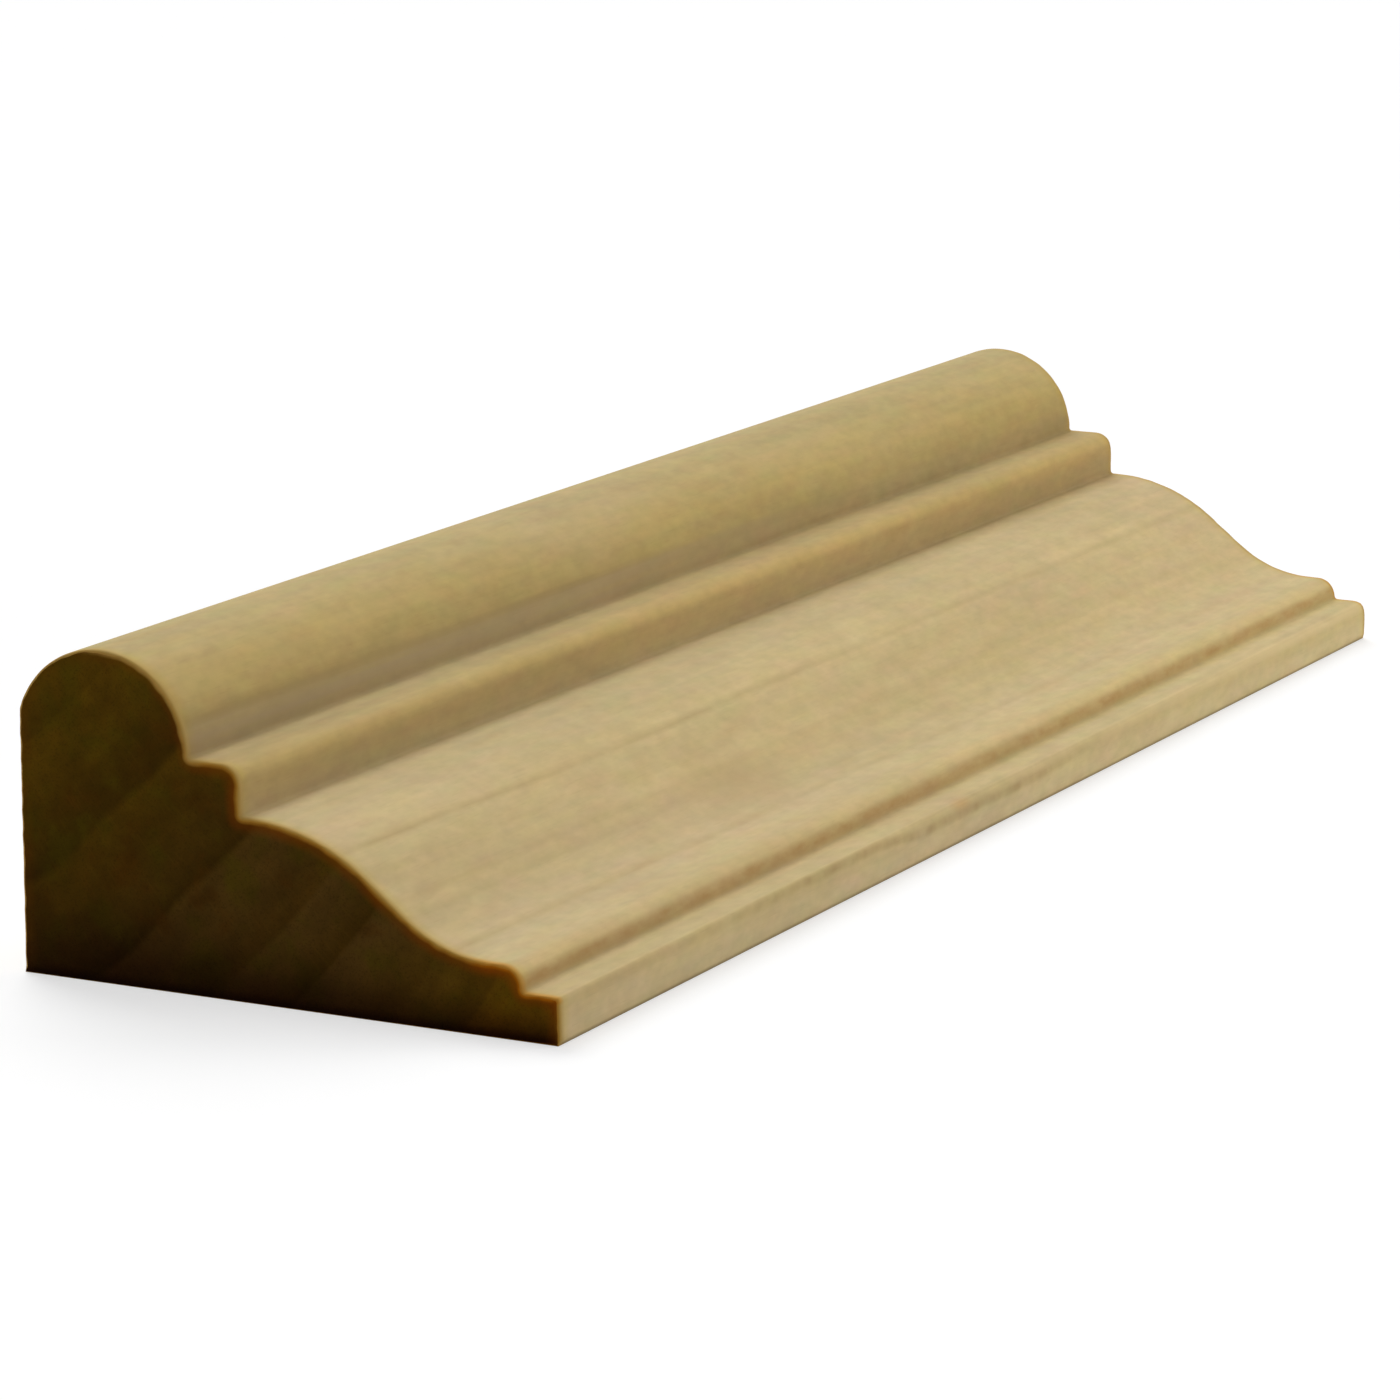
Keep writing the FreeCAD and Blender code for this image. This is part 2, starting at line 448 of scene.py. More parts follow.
def section():
    """The section's points in order round it, each once, and how many there are before the flat back."""
    outline = Outline()
    draw_torus(outline)
    outline.rounded_square(STEP_FLAT, STEP_CORNER_RADIUS, STEP_FACE)
    outline.line_by(OGEE_SHOULDER, 0)
    draw_ogee(
        outline,
        foot_across=WIDTH - LIP_WIDTH - FILLET_CORNER_RADIUS - FILLET_FLAT,
        foot_height=LIP_THICKNESS + FILLET_FACE + FILLET_CORNER_RADIUS,
    )
    outline.rounded_square(FILLET_FLAT, FILLET_CORNER_RADIUS, FILLET_FACE)
    outline.rounded_square(
        flat=LIP_WIDTH - LIP_ARRIS_RADIUS,
        radius=LIP_ARRIS_RADIUS,
        face=LIP_THICKNESS - LIP_ARRIS_RADIUS,
    )
    outline.points = round_inner_corners(outline.points)
    machined = len(outline.points)
    outline.line_to(0, 0)
    points = np.array(outline.points[:-1])
    points[:, 0] -= WIDTH / 2
    return points, machined


def inward_normals(points):
    """A unit normal at each point of the closed section, pointing into the wood."""
    along = np.roll(points, -1, axis=0) - np.roll(points, 1, axis=0)
    along /= np.linalg.norm(along, axis=1)[:, None]
    return np.stack([along[:, 1], -along[:, 0]], axis=1)


def ring_places():
    """Distances of the mesh's rings from the near end: close at both ends, even between them."""
    depths = list(END_RING_DEPTHS)
    count = round((LENGTH - 2 * depths[-1]) / RING_SPACING)
    middle = np.linspace(depths[-1], LENGTH - depths[-1], count + 1)[1:-1]
    return np.concatenate([depths, middle, LENGTH - np.array(depths[::-1])])


def end_inset(depth, arris):
    """How far an arris of that radius lies inside the section, at a depth from the sawn end."""
    if depth >= arris:
        return 0.0
    return arris - math.sqrt(arris**2 - (arris - depth) ** 2)


def unevenness(place):
    """A share round 1 that changes along the stick."""
    waves = 0.0
    for pace, strength, seed in LIP_WEAR_WAVES:
        waves += strength * noise.noise(Vector((place * pace, LIP_WEAR_SEED, seed)))
    return max(0.0, 1 + waves)


def lip_wear(point, place):
    """How far across and up the lip's worn arrises are moved, at a place along the stick."""
    upper = 1 - math.dist(point, (WIDTH / 2, LIP_THICKNESS)) / LIP_WEAR_REACH
    lower = 1 - math.dist(point, (WIDTH / 2, 0)) / LIP_FOOT_REACH
    if upper > 0:
        wear = np.interp(
            place,
            (LIP_WEAR_START, LIP_WEAR_FULL, LENGTH),
            (LIP_WEAR_NEAR, LIP_WEAR_MIDDLE, LIP_WEAR_FAR),
        )
        wear *= unevenness(place) * upper**LIP_WEAR_FALL
        return -wear, -wear
    if lower > 0:
        return -LIP_FOOT_WEAR * lower, 0.0
    return 0.0, 0.0


def stick_points(points):
    """Every ring of the stick, as an array of rings by section points by three."""
    normals = inward_normals(points)
    places = ring_places()
    rings = np.zeros((len(places), len(points), 3))
    for j, place in enumerate(places):
        depth = min(place, LENGTH - place)
        seed = FAR_END_SEED if place > LENGTH / 2 else NEAR_END_SEED
        for i, point in enumerate(points):
            uneven = noise.noise(Vector((point[0] * END_ARRIS_WAVES, point[1] * END_ARRIS_WAVES, seed)))
            arris = END_ARRIS + END_ARRIS_SPREAD * uneven
            if point[1] < BACK_ARRIS_HEIGHT:
                arris = BACK_ARRIS
            inset = end_inset(depth, arris)
            across, up = lip_wear(point, place)
            rings[j, i, 0] = point[0] + normals[i, 0] * inset + across
            rings[j, i, 1] = place - LENGTH / 2
            rings[j, i, 2] = point[1] + normals[i, 1] * inset + up
    return rings


def distance_to_line(queries, line):
    """The distance of each query point from an open polyline."""
    start, span = line[:-1], np.diff(line, axis=0)
    offset = queries[:, None, :] - start[None]
    share = np.clip((offset * span).sum(2) / (span**2).sum(1), 0, 1)
    gap = offset - share[..., None] * span
    return np.sqrt((gap**2).sum(2)).min(1)


def inside(queries, loop):
    """Whether each query point lies inside the closed loop."""
    result = np.zeros(len(queries), bool)
    for a, b in zip(loop, np.roll(loop, -1, axis=0)):
        crosses = (a[1] > queries[:, 1]) != (b[1] > queries[:, 1])
        with np.errstate(divide="ignore", invalid="ignore"):
            at = a[0] + (queries[:, 1] - a[1]) * (b[0] - a[0]) / (b[1] - a[1])
        result ^= crosses & (queries[:, 0] < at)
    return result


def cap(loop):
    """Triangles that fill a sawn end: its inner points, and faces that number the loop's first."""
    closed = np.vstack([loop, loop[:1]])
    across = np.arange(loop[:, 0].min(), loop[:, 0].max(), CAP_SPACING)
    up = np.arange(loop[:, 1].min(), loop[:, 1].max(), CAP_SPACING)
    grid = np.array([(x, z) for x in across for z in up])
    grid = grid[inside(grid, loop)]
    grid = grid[distance_to_line(grid, closed) > CAP_MARGIN]
    rows = [grid]
    for offset in CAP_ROWS:
        row = loop + inward_normals(loop) * offset
        row = row[inside(row, loop)]
        rows.append(row[distance_to_line(row, closed) > offset * CAP_ROW_SHARE])
    inner = np.vstack(rows)
    flat = [Vector(p) for p in np.vstack([loop, inner])]
    # Kind 1 gives the triangles inside the outline only
    found = delaunay_2d_cdt(flat, [], [list(range(len(loop)))], 1, 1e-6)
    triangles, sources = found[2], found[3]
    origin = [numbers[0] for numbers in sources]
    return inner, [[origin[i] for i in triangle] for triangle in triangles]


def build_stick():
    """The stick as one closed mesh, with its two sawn ends in a material of their own."""
    points, machined = section()
    rings = stick_points(points)
    ring_count, around = rings.shape[:2]
    vertices = rings.reshape(-1, 3)
    faces, slots = [], []
    for j in range(ring_count - 1):
        for i in range(around):
            k = (i + 1) % around
            faces.append([j * around + i, (j + 1) * around + i, (j + 1) * around + k, j * around + k])
            slots.append(0)
    rim = [np.zeros(len(vertices))]
    for j, flip in ((0, False), (ring_count - 1, True)):
        loop = rings[j][:, [0, 2]]
        inner, triangles = cap(loop)
        first = len(vertices)
        rim.append(distance_to_line(inner, loop[:machined]))
        vertices = np.vstack([vertices, np.insert(inner, 1, rings[j, 0, 1], axis=1)])
        for face in triangles:
            numbers = [j * around + n if n < around else first + n - around for n in face]
            faces.append(numbers[::-1] if flip else numbers)
            slots.append(1)
    mesh = bpy.data.meshes.new("moulding_stick")
    mesh.from_pydata((vertices * MM).tolist(), [], faces)
    mesh.polygons.foreach_set("material_index", slots)
    mesh.polygons.foreach_set("use_smooth", [True] * len(faces))
    attribute = mesh.attributes.new("rim_distance", "FLOAT", "POINT")
    attribute.data.foreach_set("value", np.concatenate(rim).astype(np.float32))
    mesh.set_sharp_from_angle(angle=math.radians(SHARP_ANGLE))
    mesh.update()
    mesh.validate()
    stick = bpy.data.objects.new("moulding_stick", mesh)
    bpy.context.scene.collection.objects.link(stick)
    return stick


def srgb(red, green, blue):
    """A colour written as it is seen, 0 to 255, in Blender's linear values."""

    def linear(value):
        share = value / 255
        return share / 12.92 if share <= 0.04045 else ((share + 0.055) / 1.055) ** 2.4

    return (linear(red), linear(green), linear(blue), 1.0)


def grey(level):
    """A grey in Blender's linear values."""
    return (level, level, level, 1.0)


class Shader:
    """Adds nodes to a material or a world. Inputs are values, colours or the outputs of other nodes."""

    def __init__(self, owner):
        owner.use_nodes = True
        self.owner = owner
        self.tree = owner.node_tree

    def node(self, kind, settings=None, **inputs):
        """A new node of a kind. An input is named as its socket, with _ for a blank."""
        made = self.tree.nodes.new("ShaderNode" + kind)
        for name, value in (settings or {}).items():
            setattr(made, name, value)
        for name, value in inputs.items():
            self.feed(made, name.replace("_", " "), value)
        return made

    def feed(self, node, name, value):
        """Gives a value to a node's input, which is named, or numbered in the order of its sockets."""
        socket = node.inputs[name]
        if isinstance(value, bpy.types.NodeSocket):
            self.tree.links.new(value, socket)
        else:
            socket.default_value = value

    def math(self, operation, *values, clamp=False):
        made = self.node("Math", {"operation": operation, "use_clamp": clamp})
        for i, value in enumerate(values):
            self.feed(made, i, value)
        return made.outputs[0]

    def vector(self, operation, a, b):
        made = self.node("VectorMath", {"operation": operation})
        self.feed(made, 0, a)
        self.feed(made, 1, b)
        return made.outputs[0]

    def noise(self, place, stretch, detail, roughness, output="Fac"):
        """Noise from 0 to 1, with a stretch in features per millimetre across, along and up."""
        scaled = self.vector("MULTIPLY", place, stretch)
        made = self.node("TexNoise", Vector=scaled, Scale=1.0, Detail=detail, Roughness=roughness)
        return made.outputs[output]

    def blend(self, share, a, b, way="MIX"):
        """The first colour with a share of the second laid over it."""
        made = self.node("Mix", {"data_type": "RGBA", "blend_type": way})
        for name, value in (("Factor", share), ("A", a), ("B", b)):
            number = next(i for i, s in enumerate(made.inputs) if s.name == name and s.enabled)
            self.feed(made, number, value)
        return next(s for s in made.outputs if s.enabled)

    def shade(self, colour, tone, share=1.0):
        """The colour multiplied by a tone, as far as the share says."""
        return self.blend(share, colour, tone, "MULTIPLY")

    def paint(self, colour, other, share):
        """The colour with a share of another laid over it, which is written as it is seen."""
        return self.blend(share, colour, srgb(*other))

    def ease(self, value, low, high, to_low=0.0, to_high=1.0):
        """A smooth step from to_low at low to to_high at high."""
        made = self.node(
            "MapRange",
            {"interpolation_type": "SMOOTHSTEP"},
            Value=value,
            From_Min=low,
            From_Max=high,
            To_Min=to_low,
            To_Max=to_high,
        )
        return made.outputs[0]

    def levels(self, value, low, high):
        """Noise's usual spread, 0.3 to 0.7, stretched between two levels."""
        made = self.node("MapRange", Value=value, From_Min=0.3, From_Max=0.7, To_Min=low, To_Max=high)
        return made.outputs[0]

    def palette(self, value, stops):
        """Smooth changes through (place, colour) stops."""
        made = self.node("ValToRGB", Fac=value)
        line = made.color_ramp.elements
        line.remove(line[1])
        line[0].position, line[0].color = stops[0]
        for place, colour in stops[1:]:
            line.new(place).color = colour
        return made.outputs["Color"]

    def ramp(self, value, stops):
        """Smooth changes through (place, level) stops."""
        return self.palette(value, [(place, grey(level)) for place, level in stops])

    def distance(self, place, centre, stretch):
        """How far a place is from a centre, once both are stretched."""
        offset = self.vector("MULTIPLY", self.vector("SUBTRACT", place, centre), stretch)
        return self.node("VectorMath", {"operation": "LENGTH"}, Vector=offset).outputs["Value"]

    def beside(self, place, line, widths):
        """A soft band along the grain: 1 within a first width of a line across and up, 0 past a second."""
        offset = self.distance(place, (line[0], 0.0, line[1]), (1.0, 0.0, 1.0))
        return self.ease(offset, *widths, 1.0, 0.0)

    def place(self):
        """The point's place in the frame, in millimetres."""
        return self.vector("MULTIPLY", self.node("TexCoord").outputs["Object"], (1 / MM,) * 3)

    def axes(self, place):
        """A place's X, Y and Z."""
        return self.node("SeparateXYZ", Vector=place).outputs

    def dress(self, colour, roughness, gloss, relief, strength, depth):
        """Gives the surface its colour, roughness and gloss, and its relief a depth in millimetres."""
        surface = self.tree.nodes["Principled BSDF"]
        bump = self.node("Bump", Strength=strength, Distance=depth * MM, Height=relief)
        self.feed(surface, "Base Color", colour)
        self.feed(surface, "Roughness", roughness)
        self.feed(surface, "Specular IOR Level", gloss)
        self.feed(surface, "Normal", bump.outputs[0])
        return self.owner


def ring_share(radius):
    """A distance from the pith, as a share of the way from the innermost wood to the outermost."""
    return (radius - RING_CORE) / (RING_RIM - RING_CORE)


def by_radius(stops):
    """Stops placed by their distance from the pith, made ready for a palette."""
    return [(ring_share(radius), srgb(*colour)) for radius, colour in stops]


def by_place(stops):
    """Stops with colours as they are seen, made ready for a palette."""
    return [(place, srgb(*colour)) for place, colour in stops]


def ring_stops():
    """Each year's wood is pale at first and darkens outwards to the end of the year."""
    stops = []
    inner = RING_CORE
    for outer, darkness in GROWTH_RINGS:
        for share, level in GROWTH_YEAR:
            stops.append((ring_share(inner + (outer - inner) * share), level * darkness))
        inner = outer
    return stops


def line_stops():
    """The thin growth lines of the long faces."""
    stops = []
    darkening, clearing = FINE_LINE_WIDTHS
    for radius, darkness in FINE_LINES:
        stops.append((ring_share(radius - darkening), 0.0))
        stops.append((ring_share(radius), darkness))
        stops.append((ring_share(radius + clearing), 0.0))
    return stops


def growth(shader, place):
    """Each point's distance from the pith, as a share and in millimetres, and its turn round it."""
    wander = shader.noise(place, *RING_NOISE, output="Color")
    wander = shader.vector("MULTIPLY", shader.vector("SUBTRACT", wander, (0.5, 0.5, 0.5)), RING_WANDER)
    along = shader.axes(place)["Y"]
    share = shader.math("MULTIPLY_ADD", along, 1 / LENGTH, 0.5)
    pith = shader.node(
        "CombineXYZ",
        X=shader.math("MULTIPLY_ADD", share, PITH_DRIFT_ACROSS, PITH_ACROSS),
        Y=along,
        Z=shader.math("MULTIPLY_ADD", share, PITH_DRIFT_UP, PITH_UP),
    ).outputs[0]
    spoke = shader.axes(shader.vector("ADD", shader.vector("SUBTRACT", place, pith), wander))
    square = shader.math("POWER", spoke["X"], 2.0)
    radius = shader.math("SQRT", shader.math("MULTIPLY_ADD", spoke["Z"], spoke["Z"], square))
    bulge = shader.beside(place, BULGE_LINE, BULGE_WIDTHS)
    radius = shader.math("MULTIPLY_ADD", bulge, -BULGE, radius)
    beyond_core = shader.math("SUBTRACT", radius, RING_CORE)
    age = shader.math("DIVIDE", beyond_core, RING_RIM - RING_CORE, clamp=True)
    return age, radius, shader.math("ARCTAN2", spoke["Z"], spoke["X"])


def leaning(shader, place, colour, pattern, leans):
    """The colour with patches of others, where a noise is low or high."""
    level = shader.noise(place, *pattern)
    for other, levels, share in leans:
        colour = shader.paint(colour, other, shader.ease(level, *levels, 0.0, share))
    return colour


def mottled(shader, place, colour, layer):
    """The colour, darker and paler with a noise. Gives the colour and the noise."""
    stretch, detail, roughness, low, high = layer
    level = shader.noise(place, stretch, detail, roughness)
    return shader.shade(colour, shader.levels(level, low, high)), level


def fibre(shader, place, colour):
    """Streaks, flecks and pores over the wood's colour. Gives the colour, the streaks and the pores."""
    colour, streaks = mottled(shader, place, colour, STREAKS)
    for layer in (FLECKS, MOTTLE, CLOUDS):
        colour = mottled(shader, place, colour, layer)[0]
    tint = shader.noise(place, *TINT_NOISE, output="Color")
    colour = shader.blend(TINT_SHARE, colour, tint, "OVERLAY")
    pores = shader.ease(shader.noise(place, *PORE_NOISE), *PORE_LEVELS)
    colour = shader.paint(colour, PORE_COLOUR, shader.math("MULTIPLY", pores, PORE_SHARE))
    return colour, streaks, pores


def spotted(shader, place, colour, spot):
    """The colour with a soft spot of another."""
    centre, stretch, size, other, share = spot
    near = shader.ease(shader.distance(place, centre, stretch), 0.0, size, 1.0, 0.0)
    return shader.paint(colour, other, shader.math("MULTIPLY", near, share))


def growth_lines(shader, place, axes, age, colour):
    """The thin, broken lines where the years' rings come out on the long faces."""
    broken = shader.levels(shader.noise(place, *FINE_LINE_NOISE), *FINE_LINE_LEVELS)
    broken = shader.math("MULTIPLY", broken, shader.ease(axes["Y"], *FINE_LINE_FADE))
    line = shader.math("MULTIPLY", shader.ramp(age, line_stops()), broken)
    return shader.paint(colour, FINE_LINE_COLOUR, line)


def painted_member_light_and_shade(shader, axes, colour):
    """Painted light and shade by member. The thick edge, the torus's crest and the back keep the wood's
    colour.
    """
    span = FALL_END - FALL_START
    fall = shader.math("SUBTRACT", axes["X"], axes["Z"])
    share = shader.node("MapRange", Value=fall, From_Min=FALL_START, From_Max=FALL_END).outputs[0]
    stops = [((place - FALL_START) / span, (*tone, 1.0)) for place, tone in MEMBER_LIGHT_AND_SHADE]
    across = shader.ease(axes["X"], *MEMBERS_ACROSS)
    painted_share = shader.math("MULTIPLY", across, shader.ease(axes["Z"], *MEMBERS_UP))
    return shader.shade(colour, shader.palette(share, stops), painted_share)


def torus_foot_shade_and_string(shader, place, axes, colour):
    """Painted shade, greyish and stringy, at the torus's foot towards the near end, and a thin dark string
    on it.
    """
    strings = shader.levels(shader.noise(place, *STRING_NOISE), *STRING_LEVELS)
    for line, widths, fade, other in (TORUS_FOOT_SHADE, STRING):
        share = shader.math("MULTIPLY", shader.beside(place, line, widths), strings)
        share = shader.math("MULTIPLY", share, shader.ease(axes["Y"], *fade))
        colour = shader.paint(colour, other, share)
    return colour


def level_tones(shader, place, axes, colour):
    """Level strips that change along the stick: painted light and shade on two beside the step; the lip's
    top brightens.
    """
    strips = shader.beside(place, SHOULDER_LINE, SHOULDER_WIDTHS)
    strips = shader.math("MAXIMUM", strips, shader.beside(place, STEP_LINE, STEP_WIDTHS))
    tone = shader.blend(shader.ease(axes["Y"], STRIP_NEAR, STRIP_FAR), *STRIP_LIGHT_AND_SHADE)
    colour = shader.shade(colour, tone, strips)
    tone = shader.blend(shader.ease(axes["Y"], LIP_TOP_NEAR, LIP_TOP_FAR), *LIP_TOP_TONES)
    return shader.shade(colour, tone, shader.beside(place, LIP_TOP_LINE, LIP_TOP_WIDTHS))


def fillet_line_and_shade(shader, place, colour):
    """A brown line down the fillet's foot, partly the wood's colour and partly painted shade."""
    patchy = shader.levels(shader.noise(place, *FILLET_NOISE), *FILLET_LEVELS)
    share = shader.math("MULTIPLY", shader.beside(place, FILLET_LINE, FILLET_WIDTHS), patchy)
    return shader.paint(colour, FILLET_LINE_AND_SHADE_COLOUR, share)


def lip_shade_and_marks(shader, place, axes, colour):
    """A wavy line of painted shade below the lip's arris, a small speck on it, and the pale worn arris
    beyond them.
    """
    wave = shader.noise(place, *WAVE_NOISE)
    drop = shader.math("MULTIPLY_ADD", wave, WAVE_HEIGHT, shader.ease(axes["Y"], *ARRIS_DROP))
    drop = shader.math("SUBTRACT", drop, shader.ease(axes["Y"], *ARRIS_RISE))
    risen = shader.vector("ADD", place, shader.node("CombineXYZ", Z=drop).outputs[0])
    share = shader.beside(risen, ARRIS_LINE, ARRIS_WIDTHS)
    for fade in ARRIS_FADES:
        share = shader.math("MULTIPLY", share, shader.ease(axes["Y"], *fade))
    broken = shader.levels(shader.noise(place, *ARRIS_NOISE), *ARRIS_LEVELS)
    colour = shader.paint(colour, ARRIS_SHADE_COLOUR, shader.math("MULTIPLY", share, broken))
    colour = spotted(shader, place, colour, SPECK)
    worn = shader.beside(place, WORN_LINE, WORN_WIDTHS)
    worn = shader.math("MULTIPLY", worn, shader.ease(axes["Y"], *WORN_FADE))
    return shader.paint(colour, WORN_COLOUR, worn)


def blotch_and_lip_foot_shadow(shader, place, axes, colour):
    """A brownish blotch on the ogee, and a painted contact shadow along the lip's foot."""
    colour = spotted(shader, place, colour, BLOTCH)
    return shader.paint(colour, LIP_FOOT_SHADOW_COLOUR, shader.ease(axes["Z"], *LIP_FOOT_SHADOW_FADE))


def low_tops(shader, axes):
    """The tops of the fillet and the lip, where the painted light at the arris is orange."""
    across = shader.ease(axes["X"], *LOW_TOPS_ACROSS)
    return shader.math("MULTIPLY", across, shader.ease(axes["Z"], *LOW_TOPS_UP))


def painted_arris_light(shader, axes, colour):
    """Painted light at each sawn end: the arris painted brown, less so on the torus, and warmer wood beside
    it.
    """
    along = shader.math("ABSOLUTE", axes["Y"])
    colour = shader.shade(colour, PAINTED_END_WARM_TONE, shader.ease(along, *PAINTED_END_WARMTH))
    depth = shader.math("SUBTRACT", LENGTH / 2, along)
    brown = shader.palette(depth, by_place(PAINTED_ARRIS_COLOURS))
    brown = shader.shade(brown, LOW_TOPS_TONE, low_tops(shader, axes))
    share = shader.ramp(depth, PAINTED_ARRIS_SHARES)
    share = shader.math("MULTIPLY", share, shader.ease(axes["X"], *TORUS_ARRIS))
    return shader.blend(share, colour, brown)


def planed_wood():
    """The long faces: pale, close-grained and dull, with faint growth lines along them."""
    shader = Shader(bpy.data.materials.new("planed_wood"))
    place = shader.place()
    axes = shader.axes(place)
    age = growth(shader, place)[0]
    colour = shader.palette(age, by_radius(PLANED_COLOURS))
    colour = leaning(shader, place, colour, LEAN_NOISE, LEANS)
    colour, streaks, pores = fibre(shader, place, colour)
    colour = growth_lines(shader, place, axes, age, colour)
    # Painted light and shade on each member
    colour = painted_member_light_and_shade(shader, axes, colour)
    colour = torus_foot_shade_and_string(shader, place, axes, colour)
    colour = level_tones(shader, place, axes, colour)
    colour = fillet_line_and_shade(shader, place, colour)
    colour = lip_shade_and_marks(shader, place, axes, colour)
    colour = blotch_and_lip_foot_shadow(shader, place, axes, colour)
    # Painted light at the arris of each sawn end
    colour = painted_arris_light(shader, axes, colour)
    relief = shader.math("MULTIPLY_ADD", pores, PORE_SINK, shader.noise(place, *FIBRE_NOISE))
    roughness = shader.levels(streaks, *PLANED_ROUGHNESS)
    return shader.dress(colour, roughness, PLANED_GLOSS, relief, *PLANED_RELIEF)


def end_figure(shader, place, radius, turn, colour):
    """Mottling, bands, pores and rays over the sawn ends' colour. Gives the colour and the pores."""
    colour = mottled(shader, place, colour, END_MOTTLE)[0]
    round_pith = shader.node("CombineXYZ", X=turn, Y=radius).outputs[0]
    colour = mottled(shader, round_pith, colour, END_BANDS)[0]
    pores = shader.noise(place, *END_PORE_NOISE)
    share = shader.ease(pores, *END_PORE_LEVELS, 0.0, END_PORE_SHARE)
    colour = shader.paint(colour, END_PORE_COLOUR, share)
    rays = shader.noise(round_pith, *RAY_NOISE)
    colour = shader.paint(colour, RAY_COLOUR, shader.ease(rays, *RAY_LEVELS, 0.0, RAY_SHARE))
    return colour, pores


def painted_foot_shade(shader, axes, colour):
    """Painted shade: a slow darkening down the sawn ends, highest under the thick edge, and a dark lowest
    strip.
    """
    reach = shader.math("MULTIPLY_ADD", axes["X"], SHADE_SLOPE, SHADE_HEIGHT)
    share = shader.ease(shader.math("DIVIDE", axes["Z"], reach), 0.0, 1.0, 1.0, 0.0)
    colour = shader.shade(colour, PAINTED_SHADE_TONE, share)
    return shader.shade(colour, PAINTED_FOOT_SHADOW_TONE, shader.ease(axes["Z"], *FOOT_SHADOW_HEIGHTS, 1.0, 0.0))


def painted_rim_highlight(shader, place, axes, colour):
    """A painted highlight along the machined outline, less on the torus and the thick edge."""
    rim = shader.node("Attribute", {"attribute_name": "rim_distance"}).outputs["Fac"]
    half = WIDTH / 2
    across = shader.node("MapRange", Value=axes["X"], From_Min=-half, From_Max=half).outputs[0]
    tops = low_tops(shader, axes)
    patchy = shader.levels(shader.noise(place, *GLOW_NOISE), *GLOW_LEVELS)
    patchy = shader.math("MULTIPLY", patchy, shader.ease(axes["Z"], *GLOW_RISE))
    highlight_share = shader.math("MULTIPLY", shader.ramp(across, GLOW_SHARES), patchy)
    spread = shader.ramp(across, GLOW_SPREADS)
    nearness = shader.ease(shader.math("DIVIDE", rim, spread), 0.0, GLOW_WIDTH, 1.0, 0.0)
    glow = shader.blend(tops, srgb(*GLOW_COLOUR), srgb(*LOW_TOPS_GLOW))
    colour = shader.blend(shader.math("MULTIPLY", nearness, highlight_share), colour, glow)
    share = shader.ease(rim, 0.0, CREST_WIDTH, 1.0, 0.0)
    share = shader.math("MULTIPLY", share, shader.ramp(across, CREST_SHARES))
    crest = shader.palette(across, by_place(CREST_COLOURS))
    crest = shader.blend(tops, crest, srgb(*LOW_TOPS_CREST))
    return shader.blend(share, colour, crest)


def sawn_end_grain():
    """The sawn ends: dark umber, partly painted shade, with broad growth bands, fine pores and rays, and a
    warm painted rim highlight.
    """
    shader = Shader(bpy.data.materials.new("sawn_end_grain"))
    place = shader.place()
    axes = shader.axes(place)
    age, radius, turn = growth(shader, place)
    early = shader.palette(age, by_radius(END_EARLY_COLOURS))
    late = shader.palette(age, by_radius(END_LATE_COLOURS))
    colour = shader.blend(shader.ramp(age, ring_stops()), early, late)
    colour = leaning(shader, place, colour, END_LEAN_NOISE, END_LEANS)
    colour, pores = end_figure(shader, place, radius, turn, colour)
    # Painted shade darkens the sawn ends towards the bottom
    colour = painted_foot_shade(shader, axes, colour)
    # Painted highlight round the sawn end's machined rim
    colour = painted_rim_highlight(shader, place, axes, colour)
    relief = shader.math("ADD", shader.noise(place, *SAW_NOISE), pores)
    return shader.dress(colour, END_ROUGHNESS, END_GLOSS, relief, *END_RELIEF)


def looked_at(shader):
    """1 for the camera's own rays, also by way of gloss or glass, and 0 for the light's other bounces."""
    rays = shader.node("LightPath").outputs
    seen = shader.math("MAXIMUM", rays["Is Camera Ray"], rays["Is Glossy Ray"])
    return shader.math("MAXIMUM", seen, rays["Is Transmission Ray"])


def pale_floor():
    """A level pale floor that the camera sees as white outside the shadow."""
    shader = Shader(bpy.data.materials.new("pale_floor"))
    nodes = shader.tree.nodes
    nodes.remove(nodes["Principled BSDF"])
    seen = shader.node("AddShader")
    shader.feed(seen, 0, shader.node("BsdfDiffuse", Color=grey(FLOOR_SEEN_SHADE)).outputs[0])
    glow = shader.node("Emission", Color=grey(1.0), Strength=FLOOR_SEEN_LEVEL - FLOOR_SEEN_SHADE)
    shader.feed(seen, 1, glow.outputs[0])
    either = shader.node("MixShader", Fac=looked_at(shader))
    shader.feed(either, 1, shader.node("BsdfDiffuse", Color=grey(FLOOR_BOUNCE)).outputs[0])
    shader.feed(either, 2, seen.outputs[0])
    shader.feed(nodes["Material Output"], "Surface", either.outputs[0])
    bpy.ops.mesh.primitive_plane_add(size=FLOOR_SIZE, location=(0, 0, -FLOOR_DROP))
    floor = bpy.context.object
    floor.name = "floor"
    floor.data.materials.append(shader.owner)


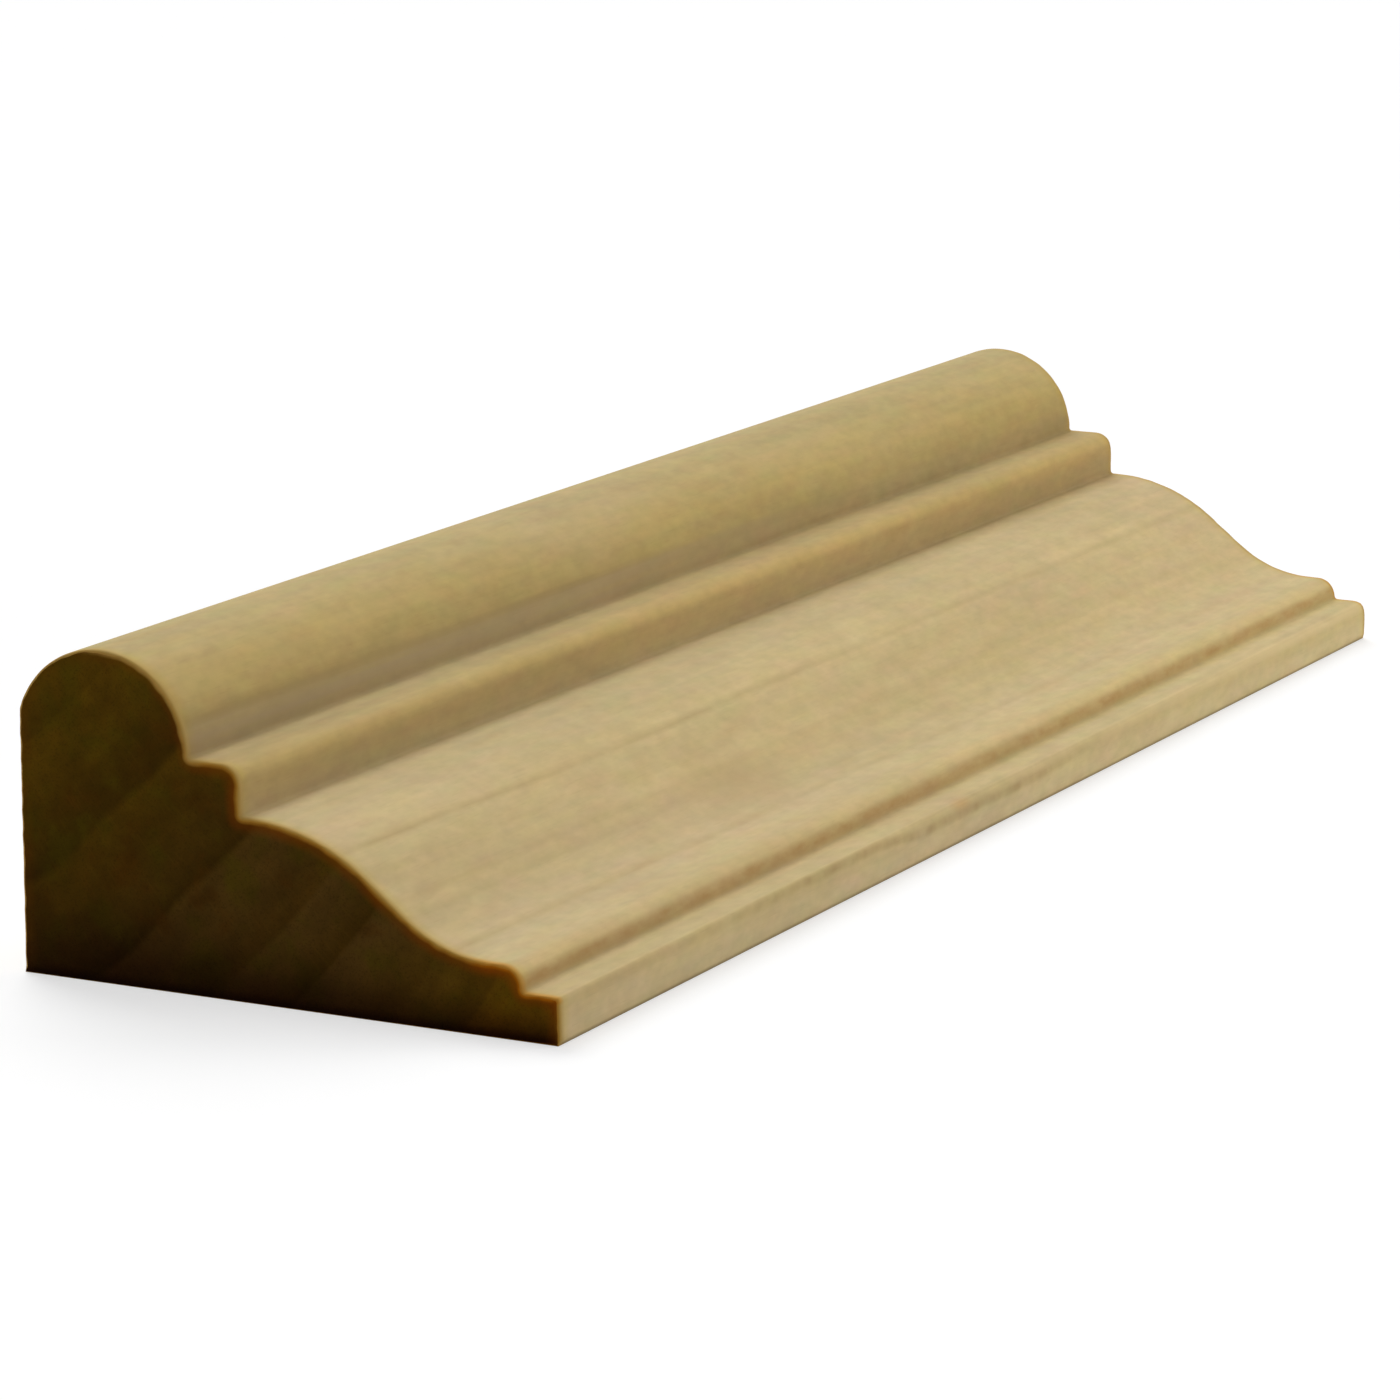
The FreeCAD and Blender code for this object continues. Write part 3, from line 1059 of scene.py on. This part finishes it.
def add_sun(name, level, direction, softness):
    """A broad lamp that shines from a direction, as soft as the angle that it fills."""
    lamp = bpy.data.lights.new(name, "SUN")
    lamp.energy = level * math.pi
    lamp.angle = math.radians(softness)
    holder = bpy.data.objects.new(name, lamp)
    holder.rotation_euler = direction.to_track_quat("Z", "Y").to_euler()
    bpy.context.scene.collection.objects.link(holder)


def add_bulb(name, level, place, radius):
    """A small round lamp at a place, as strong at the origin as a sun of the same level."""
    lamp = bpy.data.lights.new(name, "POINT")
    lamp.energy = level * 4 * math.pi**2 * place.length_squared
    lamp.shadow_soft_size = radius
    holder = bpy.data.objects.new(name, lamp)
    holder.location = place
    bpy.context.scene.collection.objects.link(holder)


def soft_light():
    """Three soft lamps, and an even sky that the camera sees as white."""
    height, turn = math.radians(KEY_HEIGHT), math.radians(KEY_TURN)
    level_part = math.cos(height)
    key = Vector((level_part * math.cos(turn), level_part * math.sin(turn), math.sin(height)))
    add_sun("key", KEY_LEVEL, key, KEY_SOFTNESS)
    add_sun("top", TOP_LEVEL, Vector((0, 0, 1)), TOP_SOFTNESS)
    add_bulb("fill", FILL_LEVEL, FILL_PLACE, FILL_RADIUS)
    shader = Shader(bpy.data.worlds.new("sky"))
    bpy.context.scene.world = shader.owner
    level = shader.node("MapRange", Value=looked_at(shader), To_Min=SKY_LEVEL).outputs[0]
    background = shader.tree.nodes["Background"]
    shader.feed(background, "Color", grey(1.0))
    shader.feed(background, "Strength", level)


def place_camera():
    """The camera, at the photograph's viewing angle."""
    lens = bpy.data.cameras.new("camera")
    lens.lens = CAMERA_LENS
    lens.clip_start = CAMERA_CLIP
    camera = bpy.data.objects.new("camera", lens)
    camera.location = CAMERA_PLACE
    camera.rotation_euler = (math.radians(90 - CAMERA_ELEVATION), 0, math.radians(CAMERA_AZIMUTH))
    bpy.context.scene.collection.objects.link(camera)
    bpy.context.scene.camera = camera


place_camera()
soft_light()
pale_floor()
stick = build_stick()
stick.data.materials.append(planed_wood())
stick.data.materials.append(sawn_end_grain())
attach(stick, "root")
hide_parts(NODE)
bpy.context.scene.view_settings.view_transform = "Standard"
